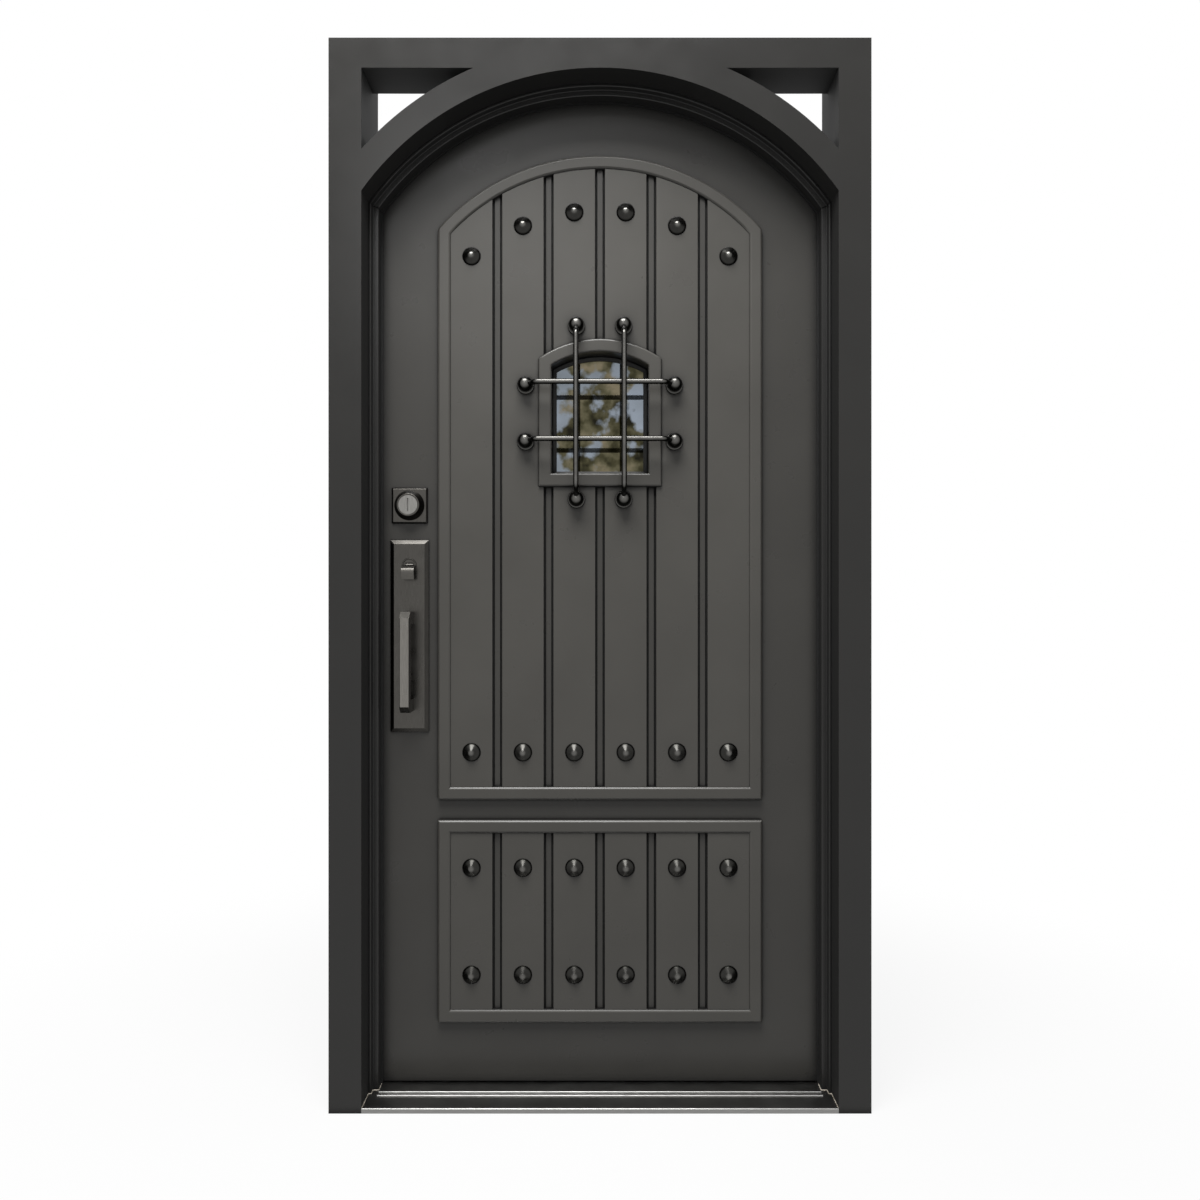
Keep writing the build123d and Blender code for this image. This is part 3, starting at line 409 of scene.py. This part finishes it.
def glass_with_painted_reflection(name):
    """Return reflective glass whose colour is a painted reflection of a blurred garden: leaves, with
    blue open patches between.
    """
    shader = Shader(name)
    shader.set(Metallic=0.85, Specular_IOR_Level=0.5)
    # Painted reflection: the leaves of a blurred garden, as if mirrored in the glass
    painted_foliage_reflection = shader.ramp(
        shader.noise(26, 3),
        (0.34, (0.010, 0.009, 0.004)),
        (0.46, (0.050, 0.046, 0.022)),
        (0.56, (0.110, 0.100, 0.058)),
        (0.68, (0.200, 0.170, 0.110)),
    )
    painted_sky_reflection = shader.ramp(shader.noise(12, 2), (0.3, (0.190, 0.215, 0.240)), (0.7, (0.300, 0.345, 0.410)))
    # Painted reflection: the share of open blue between the leaves
    clear = shader.spread(shader.noise(17, 4), 0.0, 1.0, 0.50, 0.58)
    shader.colour(shader.blended(painted_foliage_reflection, painted_sky_reflection, clear))
    shader.roughness(shader.spread(shader.noise(30, 2), 0.02, 0.05))
    shader.bump(shader.noise(18, 2), 0.10 * MM, 0.2)
    return shader.material


def make_materials():
    """Return the materials by name: one for each slot of the record, and the caulk."""
    plank_low, plank_high = corners("upper_plank_1")
    return {
        "frame_paint": powder_coat(
            "frame_paint",
            dark=(0.0126, 0.0120, 0.0107),
            light=(0.0158, 0.0150, 0.0133),
            gloss=(0.19, 0.24),
            specular=0.38,
            # Painted shade on the frame's turned faces, which are also matt
            matt=0.7,
        ),
        "leaf_paint": powder_coat(
            "leaf_paint",
            dark=(0.0688, 0.0656, 0.0586),
            light=(0.0816, 0.0781, 0.0701),
            gloss=(0.27, 0.33),
            # Painted shade on the faces set in behind the planks
            depths=(plank_low.y, plank_high.y),
            recess_painted_shade=0.6,
        ),
        "sash_paint": powder_coat(
            "sash_paint",
            dark=(0.009, 0.009, 0.008),
            light=(0.016, 0.016, 0.015),
            gloss=(0.45, 0.55),
        ),
        "dark_iron": blackened_iron("dark_iron"),
        "hardware": brushed_metal(
            "hardware",
            dark=(0.058, 0.055, 0.050),
            light=(0.092, 0.088, 0.081),
            gloss=(0.24, 0.34),
            along="z",
            front_lightening=2.4,
            # Painted shade on the hardware's flanks
            flank=0.35,
        ),
        "plug_face": brushed_metal(
            "plug_face",
            dark=(0.17, 0.165, 0.155),
            light=(0.30, 0.295, 0.28),
            gloss=(0.28, 0.38),
            along="z",
        ),
        "bolt_steel": brushed_metal(
            "bolt_steel",
            dark=(0.42, 0.41, 0.40),
            light=(0.55, 0.54, 0.52),
            gloss=(0.22, 0.34),
            along="x",
        ),
        "sill_metal": brushed_metal(
            "sill_metal",
            dark=(0.190, 0.189, 0.184),
            light=(0.280, 0.277, 0.268),
            gloss=(0.28, 0.36),
            along="x",
        ),
        "washer_brass": brushed_metal(
            "washer_brass",
            dark=(0.55, 0.38, 0.14),
            light=(0.68, 0.50, 0.22),
            gloss=(0.24, 0.34),
            along="x",
        ),
        "rubber": rubber("rubber"),
        "foam": insulation("foam"),
        "glass": glass_with_painted_reflection("glass"),
        "caulk": sealant("caulk"),
    }


# Meshes
def finish_mesh(name, mesh, body, slot):
    """Return an object that rides on a body and wears a slot's material."""
    data = bpy.data.meshes.new(name)
    bmesh.ops.recalc_face_normals(mesh, faces=mesh.faces)
    for face in mesh.faces:
        face.smooth = True
    mesh.to_mesh(data)
    mesh.free()
    data.materials.append(materials[slot])
    piece = bpy.data.objects.new(name, data)
    bpy.context.scene.collection.objects.link(piece)
    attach(piece, body)
    return piece


def circle(steps):
    """Return the cosine and the sine of each step round a circle."""
    angles = [2 * math.pi * step / steps for step in range(steps)]
    return [(math.cos(angle), math.sin(angle)) for angle in angles]


def join_rings(mesh, rings):
    """Add the faces between neighbouring rings of points, the last of which may be a single tip."""
    for one, two in zip(rings, rings[1:]):
        for step, place in enumerate(one):
            after = (step + 1) % len(one)
            if len(two) == 1:
                mesh.faces.new((place, one[after], two[0]))
            else:
                mesh.faces.new((place, one[after], two[after], two[step]))


def turn(mesh, middle, profile):
    """Add a form turned about an axis along Y: a profile of radii and distances inwards to a tip."""
    rings = []
    for radius, depth in profile[:-1]:
        ring = [Vector((radius * across, depth, radius * up)) for across, up in circle(turn_steps)]
        rings.append([mesh.verts.new(middle + place) for place in ring])
    tip = Vector((0, profile[-1][1], 0))
    rings.append([mesh.verts.new(middle + tip)])
    join_rings(mesh, rings)


def bent_path(points, radius):
    """Return a path through points with its corners rounded by an arc."""
    path = [points[0]]
    for before, corner, after in zip(points, points[1:], points[2:]):
        back = (before - corner).normalized()
        on = (after - corner).normalized()
        half = back.angle(on) / 2
        run = radius / math.tan(half)
        middle = corner + (back + on).normalized() * (radius / math.sin(half))
        start = corner + back * run - middle
        end = corner + on * run - middle
        turned = start.rotation_difference(end)
        for step in range(knee_steps + 1):
            part = Quaternion(turned.axis, turned.angle * step / knee_steps)
            path.append(middle + part @ start)
    path.append(points[-1])
    return path


def tube(mesh, path, radius, side, steps):
    """Add a round bar along a path that stays square to a side direction."""
    rings = []
    for number, place in enumerate(path):
        ahead = path[min(number + 1, len(path) - 1)] - path[max(number - 1, 0)]
        out = side.cross(ahead).normalized()
        ring = [side * (radius * wide) + out * (radius * far) for wide, far in circle(steps)]
        rings.append([mesh.verts.new(place + spoke) for spoke in ring])
    join_rings(mesh, rings)
    mesh.faces.new(rings[0])
    mesh.faces.new(rings[-1])


# Pieces
def soften(piece, width):
    """Round a piece's edges softly, and keep its broad faces flat."""
    bevel = piece.modifiers.new("soft_edges", "BEVEL")
    bevel.width = width
    bevel.segments = edge_segments
    bevel.limit_method = "ANGLE"
    bevel.angle_limit = edge_angle
    even = piece.modifiers.new("even_normals", "WEIGHTED_NORMAL")
    even.weight = normal_weight


def dress_nodes():
    """Give each CAD node its material, and welded, softly rounded edges."""
    for node in nodes.values():
        slot = node.material_slots[0].material.name
        node.material_slots[0].material = materials[slot]
        weld = node.modifiers.new("weld", "WELD")
        weld.merge_threshold = weld_distance
        if slot in soft_edges:
            soften(node, soft_edges[slot])


def arch_circle():
    """Return the height of the arch's centre and the arch's outer radius."""
    low, high = corners("arch")
    crown = high.z - arch_face
    centre = (crown**2 - low.z**2 - high.x**2) / (2 * (crown - low.z))
    return centre, high.z - centre


def spare_object(name, mesh):
    """Return an object that only lends its shape."""
    data = bpy.data.meshes.new(name)
    mesh.to_mesh(data)
    mesh.free()
    item = bpy.data.objects.new(name, data)
    bpy.context.scene.collection.objects.link(item)
    return item


def welded_frame():
    """Make the jambs, the head and the arch as one shell, with the welds ground flush."""
    centre, outer = arch_circle()
    head = node_copy("head")
    for vert in head.verts:
        reach = Vector((vert.co.x, 0, vert.co.z - centre))
        if abs(reach.length - outer) < weld_reach:
            vert.co -= reach.normalized() * weld_reach
    spares = [spare_object("head_spare", head)]
    for name in ("arch", "left_jamb", "right_jamb"):
        spares.append(spare_object(name + "_spare", node_copy(name)))
    shell = spares[0]
    for other in spares[1:]:
        union = shell.modifiers.new("weld_on", "BOOLEAN")
        union.operation = "UNION"
        union.solver = "EXACT"
        union.object = other
    bpy.context.view_layer.update()
    graph = bpy.context.evaluated_depsgraph_get()
    joined = bpy.data.meshes.new_from_object(shell.evaluated_get(graph))
    mesh = bmesh.new()
    mesh.from_mesh(joined)
    bmesh.ops.remove_doubles(mesh, verts=mesh.verts, dist=weld_distance)
    bmesh.ops.dissolve_limit(
        mesh, angle_limit=flat_angle, verts=mesh.verts, edges=mesh.edges, delimit={"NORMAL"}
    )
    for item in spares:
        bpy.data.objects.remove(item)
    piece = finish_mesh("welded_frame", mesh, "frame", "frame_paint")
    soften(piece, soft_edges["frame_paint"])
    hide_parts("head", "arch", "left_jamb", "right_jamb")


def clavo_profile(radius, height):
    """Return a nail head's profile: a low rim, a sloping flank and a rounded crown."""
    crown = radius * clavo_crown_share
    dome = crown / math.sin(clavo_slope)
    shoulder = height - dome * (1 - math.cos(clavo_slope))
    rim = shoulder - (radius - crown) * math.tan(clavo_slope)
    profile = [(radius * wide, -rim * high) for wide, high in clavo_rim]
    for step in range(1, clavo_steps + 1):
        reach = radius + (crown - radius) * step / clavo_steps
        profile.append((reach, -rim - (radius - reach) * math.tan(clavo_slope)))
    for step in range(1, clavo_steps + 1):
        angle = clavo_slope * (1 - step / (clavo_steps + 1))
        profile.append((dome * math.sin(angle), -height + dome * (1 - math.cos(angle))))
    profile.append((0, -height))
    return profile


def clavo_heads():
    """Make the round nail heads on the planks."""
    mesh = bmesh.new()
    for low, high in loose_pieces("clavos"):
        seat = Vector(((low.x + high.x) / 2, high.y, (low.z + high.z) / 2))
        turn(mesh, seat, clavo_profile((high.x - low.x) / 2, high.y - low.y))
    piece = finish_mesh("clavo_heads", mesh, "leaf", "dark_iron")
    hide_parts("clavos")


def ball_profile(radius, foot):
    """Return the profile of a ball that stands on a round foot."""
    profile = [(foot * wide, radius * deep) for wide, deep in ball_foot]
    profile.append((radius * ball_neck_radius, radius * ball_neck_depth))
    for step in range(ball_steps):
        angle = ball_wrap * (1 - step / ball_steps)
        profile.append((radius * math.sin(angle), -radius * math.cos(angle)))
    profile.append((0, -radius))
    return profile


def grille_balls(balls):
    """Make the balls at the ends of the grille's bars."""
    mesh = bmesh.new()
    for low, high in balls:
        turn(mesh, (low + high) / 2, ball_profile((high.y - low.y) / 2, (high.x - low.x) / 2))
    piece = finish_mesh("grille_ball_ends", mesh, "leaf", "dark_iron")
    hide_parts("grille_balls")


def grille_bars(balls, name, along, side):
    """Make the grille's bars along one axis, which bend back into the balls at their ends."""
    across = 2 - along
    middles = [(low + high) / 2 for low, high in balls]
    run = Vector((0, 0, 0))
    run[along] = knee_run
    mesh = bmesh.new()
    for low, high in loose_pieces(name):
        radius = (high[across] - low[across]) / 2
        place = (low[across] + high[across]) / 2
        ends = sorted(
            (middle for middle in middles if abs(middle[across] - place) < radius),
            key=lambda middle: middle[along],
        )
        knees = [ends[0] + run, ends[-1] - run]
        for knee in knees:
            knee.y = low.y + radius
        path = bent_path([ends[0], *knees, ends[-1]], knee_radius)
        tube(mesh, path, radius, side, bar_steps)
    piece = finish_mesh(name.replace("grille", "grille_bent"), mesh, "leaf", "dark_iron")
    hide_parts(name)


def grille():
    """Make the grille in front of the window."""
    balls = loose_pieces("grille_balls")
    grille_balls(balls)
    grille_bars(balls, "grille_rails", 0, Vector((0, 0, 1)))
    grille_bars(balls, "grille_uprights", 2, Vector((1, 0, 0)))


def caulk_line(stop, side):
    """Return the path of a caulk bead on the sill, along a jamb and round the foot of its stop."""
    sill_low, _ = corners("sill")
    foot = min(vert.co.z for vert in nodes[stop].data.vertices)
    profile = [vert.co for vert in nodes[stop].data.vertices if vert.co.z < foot + foot_reach]
    insets = sorted({round(place.x, 4) for place in profile}, reverse=side > 0)
    depths = sorted({round(place.y, 4) for place in profile})
    turns = [
        (insets[0], sill_low.y + caulk_start),
        (insets[0], depths[0]),
        (insets[1], depths[0]),
        (insets[1], depths[1]),
        (insets[2], depths[1]),
        (insets[2], depths[2]),
    ]
    path = []
    for one, two in zip(turns, turns[1:]):
        run = math.dist(one, two)
        for step in range(max(1, round(run / caulk_pitch))):
            share = step * caulk_pitch / run
            path.append([one[axis] + (two[axis] - one[axis]) * share for axis in (0, 1)])
    path.append(list(turns[-1]))
    line = []
    for number, (x, y) in enumerate(path):
        sway = caulk_waver * math.sin(number * caulk_beats[0] + side)
        stray = caulk_waver * math.sin(number * caulk_beats[1] - side)
        line.append(Vector((x + sway, y + stray, foot)))
    return line


def caulk():
    """Make the ragged beads of pale caulk in the corners of the sill."""
    mesh = bmesh.new()
    for stop, side in (("left_stop", -1), ("right_stop", 1)):
        tube(mesh, caulk_line(stop, side), caulk_radius, Vector((0, 0, 1)), caulk_steps)
    finish_mesh("sill_caulk", mesh, "frame", "caulk")


# Stage
def seen_white(tree):
    """Return 1 for a ray from the camera, a mirror or a glass, and 0 for the rest."""
    path = tree.nodes.new("ShaderNodeLightPath")
    total = path.outputs["Is Camera Ray"]
    for name in ("Is Glossy Ray", "Is Transmission Ray"):
        either = tree.nodes.new("ShaderNodeMath")
        either.operation = "MAXIMUM"
        tree.links.new(total, either.inputs[0])
        tree.links.new(path.outputs[name], either.inputs[1])
        total = either.outputs[0]
    return total


def mixed(tree, share, one, two):
    """Return a mix of two shaders by a share."""
    mix = tree.nodes.new("ShaderNodeMixShader")
    tree.links.new(share, mix.inputs[0])
    tree.links.new(one, mix.inputs[1])
    tree.links.new(two, mix.inputs[2])
    return mix.outputs[0]


def diffuse(tree, tone):
    """Return a matt grey shader."""
    plain = tree.nodes.new("ShaderNodeBsdfDiffuse")
    plain.inputs["Color"].default_value = (tone, tone, tone, 1.0)
    return plain.outputs[0]


def pale_floor():
    """Return a floor that is white to the camera and to mirrors, with a shadow near the object."""
    material = bpy.data.materials.new("pale_floor")
    material.use_nodes = True
    tree = material.node_tree
    tree.nodes.clear()
    output = tree.nodes.new("ShaderNodeOutputMaterial")
    white = tree.nodes.new("ShaderNodeEmission")
    place = tree.nodes.new("ShaderNodeTexCoord")
    away = tree.nodes.new("ShaderNodeVectorMath")
    away.operation = "LENGTH"
    tree.links.new(place.outputs["Object"], away.inputs[0])
    fade = tree.nodes.new("ShaderNodeMapRange")
    fade.interpolation_type = "SMOOTHSTEP"
    fade.inputs["From Min"].default_value = shadow_start
    fade.inputs["From Max"].default_value = shadow_end
    fade.inputs["To Min"].default_value = 1 - shadow_share
    fade.inputs["To Max"].default_value = 1.0
    tree.links.new(away.outputs["Value"], fade.inputs["Value"])
    seen = mixed(tree, fade.outputs[0], diffuse(tree, floor_tone), white.outputs[0])
    surface = mixed(tree, seen_white(tree), diffuse(tree, floor_bounce), seen)
    tree.links.new(surface, output.inputs["Surface"])
    return material


def make_floor():
    """Make the round floor."""
    mesh = bmesh.new()
    bmesh.ops.create_circle(mesh, cap_ends=True, segments=floor_steps, radius=floor_radius)
    data = bpy.data.meshes.new("floor")
    mesh.to_mesh(data)
    mesh.free()
    data.materials.append(pale_floor())
    floor = bpy.data.objects.new("floor", data)
    bpy.context.scene.collection.objects.link(floor)


def make_world():
    """Make the surroundings: white where they are seen, and a faint light."""
    world = bpy.data.worlds.new("studio")
    bpy.context.scene.world = world
    world.use_nodes = True
    tree = world.node_tree
    tree.nodes.clear()
    output = tree.nodes.new("ShaderNodeOutputWorld")
    shades = []
    for strength in (world_light, 1.0):
        shade = tree.nodes.new("ShaderNodeBackground")
        shade.inputs["Color"].default_value = (1, 1, 1, 1)
        shade.inputs["Strength"].default_value = strength
        shades.append(shade.outputs[0])
    tree.links.new(mixed(tree, seen_white(tree), *shades), output.inputs["Surface"])


def soft_box(name, place, aim, size, power):
    """Add a soft rectangular lamp."""
    lamp = bpy.data.lights.new(name, "AREA")
    lamp.shape = "RECTANGLE"
    lamp.size, lamp.size_y = size
    lamp.energy = power
    item = bpy.data.objects.new(name, lamp)
    item.location = place
    item.visible_camera = False
    item.rotation_euler = (Vector(aim) - Vector(place)).to_track_quat("-Z", "Y").to_euler()
    bpy.context.scene.collection.objects.link(item)


def make_lights():
    """Light the door from a large box above, with a weaker lamp in front."""
    soft_box("top", top_place, top_aim, top_size, top_power)
    soft_box("key", key_place, key_aim, key_size, key_power)


def make_camera():
    """Place the camera square to the door, at eye height."""
    data = bpy.data.cameras.new("camera")
    data.lens = lens
    data.sensor_width = sensor_width
    camera = bpy.data.objects.new("camera", data)
    camera.location = (0, -eye_distance, eye_height)
    camera.rotation_euler = (math.radians(90), 0, 0)
    bpy.context.scene.collection.objects.link(camera)
    bpy.context.scene.camera = camera


materials = make_materials()
dress_nodes()
welded_frame()
clavo_heads()
grille()
caulk()
make_floor()
make_world()
make_lights()
make_camera()
bpy.context.scene.view_settings.view_transform = "Standard"
